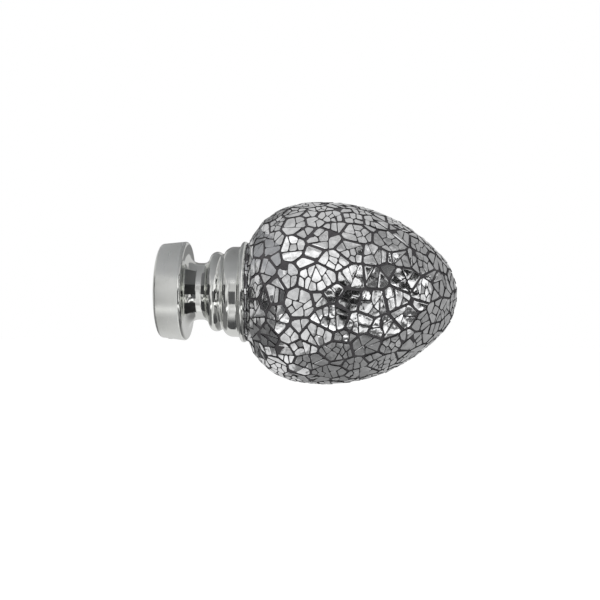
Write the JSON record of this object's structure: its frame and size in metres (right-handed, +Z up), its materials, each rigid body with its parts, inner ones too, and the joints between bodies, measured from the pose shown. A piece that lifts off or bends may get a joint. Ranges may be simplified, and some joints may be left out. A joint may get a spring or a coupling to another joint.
{
  "type": "curtain pole finial",
  "caption": "Curtain pole finial: an egg covered in broken mirror mosaic on a waisted chrome neck, with a round socket that slips over the pole's end and is clamped by a grub screw.",
  "frame": {"origin": "centre of the socket's floor, where the pole's end stops", "axes": "+X out along the pole's axis to the egg's tip, +Z up, grub screw on the underside"},
  "size_m": [0.1036, 0.064, 0.0641],
  "materials": {
    "chrome": "polished chrome plate, with the cap's side satin",
    "screw_steel": "zinc plated",
    "grout": "dark grey resin and grout, matte",
    "mirror_glass": "silvered glass, crackled"
  },
  "bodies": {
    "root": {"neck_casting": "chrome", "fixing_screw": "screw_steel", "grub_screw": "screw_steel", "egg_body": "grout", "mirror_chips": "mirror_glass"}
  },
  "joints": []
}
